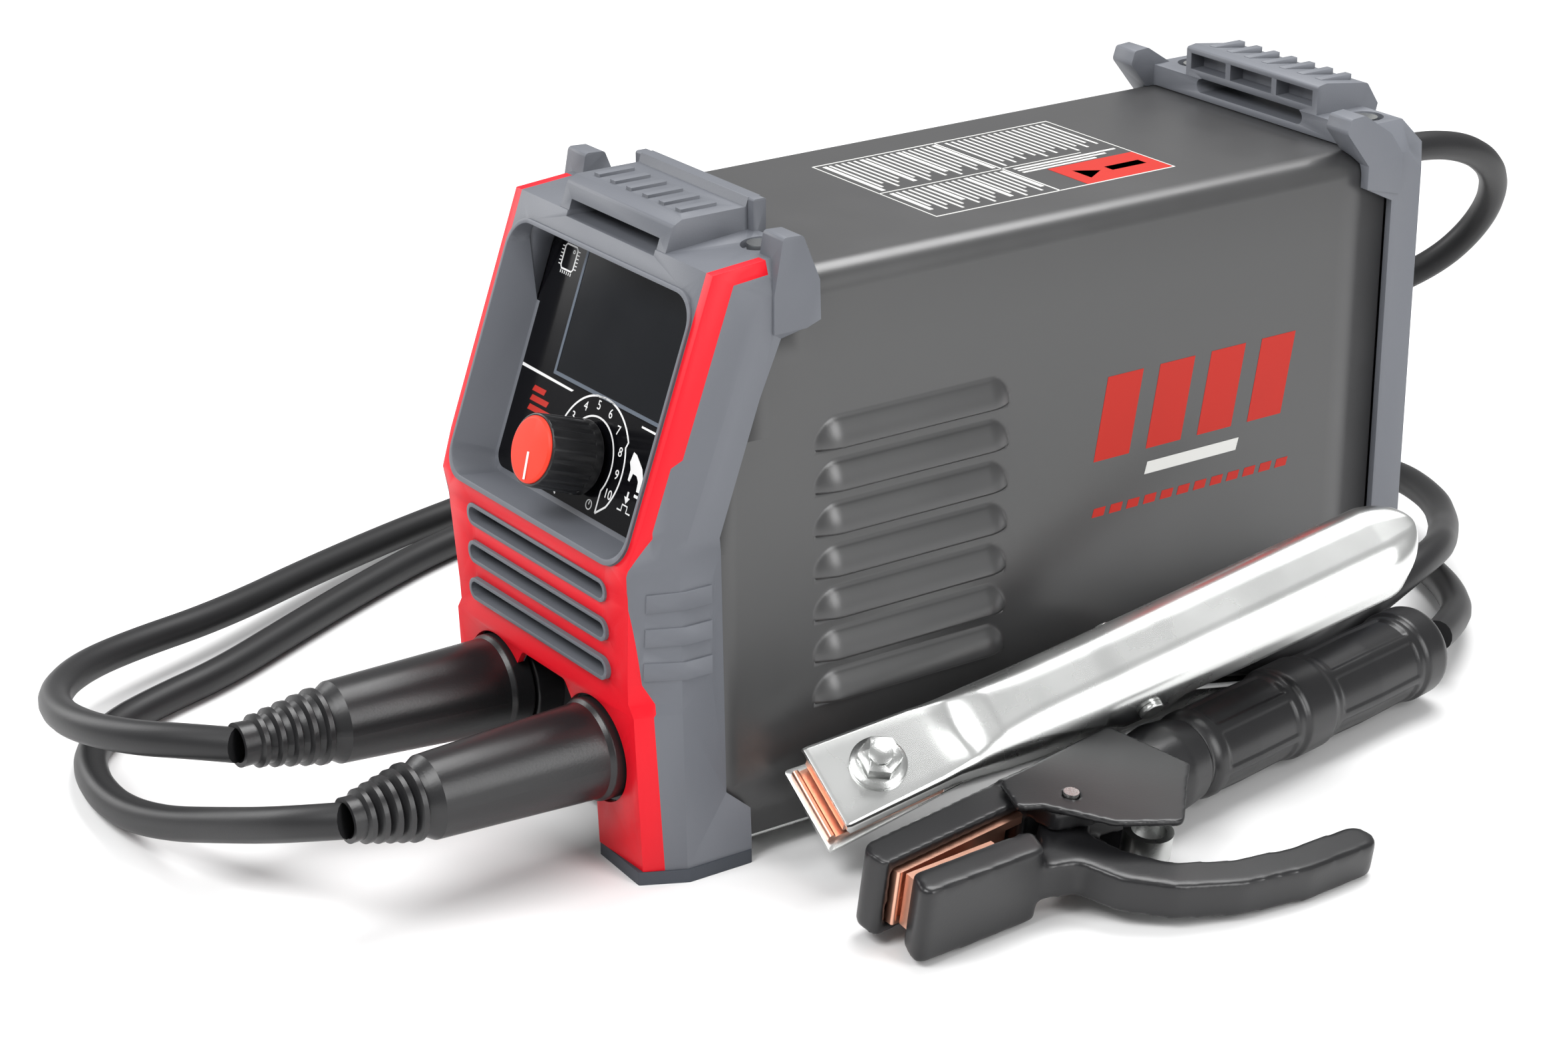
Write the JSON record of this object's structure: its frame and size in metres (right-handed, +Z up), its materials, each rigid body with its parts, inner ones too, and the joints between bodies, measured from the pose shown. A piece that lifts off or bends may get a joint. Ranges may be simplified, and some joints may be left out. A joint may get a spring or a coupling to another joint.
{
  "type": "stick welding inverter",
  "caption": "Portable stick welding inverter with sloped control face, louvred cover, plugged weld cables, electrode holder and earth clamp.",
  "frame": {"origin": "on the floor under the middle of the machine", "axes": "+Z up, -Y towards the control panel, +X to the electrode holder's side"},
  "size_m": [0.4431, 0.5593, 0.2085],
  "materials": {
    "grey_plastic": "fine moulded texture",
    "red_plastic": "satin",
    "cover_paint": "satin powder coat",
    "foot_rubber": "matte",
    "zinc_sheet": "zinc plated",
    "black_plastic": "matte",
    "cable_rubber": "matte",
    "brass": "machined",
    "panel_gloss": "glossy",
    "window_glass": "smoked",
    "circuit_board": "solder mask",
    "steel": "zinc plated",
    "knob_red": "satin",
    "aluminium": "extruded",
    "ferrite": "matte",
    "copper": "formed copper",
    "component_black": "moulded epoxy"
  },
  "bodies": {
    "machine": {"front_frame": "grey_plastic", "red_bezel": "red_plastic", "rear_frame": "grey_plastic", "foot_pads": "foot_rubber", "cover": "cover_paint", "base_plate": "zinc_sheet", "rear_panel": "cover_paint", "socket_panel": "black_plastic", "socket_left": "black_plastic", "socket_right": "black_plastic", "plug_boot_left": "cable_rubber", "plug_boot_right": "cable_rubber", "socket_contacts": "brass", "plug_pins": "brass", "control_panel": "panel_gloss", "display_window": "window_glass", "display_module": "component_black", "control_board": "circuit_board", "encoder_body": "steel", "encoder_nut": "steel", "main_board": "circuit_board", "heatsinks": "aluminium", "power_semiconductors": "component_black", "transformer": "ferrite", "output_inductor": "copper", "capacitors": "component_black", "fan_frame": "black_plastic", "fan_guard": "steel", "switch_body": "black_plastic", "cable_gland": "black_plastic", "frame_screws": "steel", "clamp_cable": "cable_rubber", "holder_cable": "cable_rubber", "mains_coil": "cable_rubber", "mains_cable": "cable_rubber", "mains_plug": "cable_rubber", "mains_plug_pins": "steel", "coil_tie": "black_plastic", "holder_grip": "black_plastic", "holder_head": "black_plastic", "holder_guards": "black_plastic", "holder_jaw_copper": "copper", "holder_pin": "steel", "holder_spring": "steel", "clamp_lower_arm": "zinc_sheet", "clamp_lower_copper": "copper", "clamp_pivot": "steel", "clamp_spring": "steel", "clamp_lower_bolt": "steel"},
    "push_plunger": {"encoder_plunger": "black_plastic"},
    "knob": {"encoder_shaft": "steel", "knob_skirt": "black_plastic", "knob_cap": "knob_red"},
    "rocker": {"switch_rocker": "black_plastic"},
    "fan": {"fan_rotor": "black_plastic"},
    "holder_lever": {"holder_lever": "black_plastic", "holder_lever_copper": "copper"},
    "clamp_arm": {"clamp_upper_arm": "zinc_sheet", "clamp_upper_copper": "copper", "clamp_upper_bolt": "steel"}
  },
  "joints": [
    {"name": "knob_push", "type": "slide", "parent": "machine", "child": "push_plunger", "axis": [0, 0.9421, -0.3355], "range_m": [0, 0.0008], "stiffness_N_per_m": 3000, "springref_m": -0.0003},
    {"name": "knob_turn", "type": "hinge", "parent": "push_plunger", "child": "knob", "pos_m": [0.005, -0.14895, 0.12449], "axis": [0, -0.9421, 0.3355], "continuous": true},
    {"name": "power_switch", "type": "hinge", "parent": "machine", "child": "rocker", "pos_m": [-0.035, 0.1446, 0.165], "axis": [1, 0, 0], "range_deg": [0, 13]},
    {"name": "fan_spin", "type": "hinge", "parent": "machine", "child": "fan", "pos_m": [0, 0.1325, 0.084], "axis": [0, 1, 0], "continuous": true},
    {"name": "holder_open", "type": "hinge", "parent": "machine", "child": "holder_lever", "pos_m": [0.12769, -0.05472, 0.01595], "axis": [0.1474, 0.0251, 0.9888], "range_deg": [0, 18], "stiffness_Nm_per_rad": 12, "springref_deg": -17.19},
    {"name": "clamp_open", "type": "hinge", "parent": "machine", "child": "clamp_arm", "pos_m": [0.09355, -0.00204, 0.04693], "axis": [-0.8201, 0.009, 0.5721], "range_deg": [0, 15], "stiffness_Nm_per_rad": 14, "springref_deg": -17.19}
  ]
}
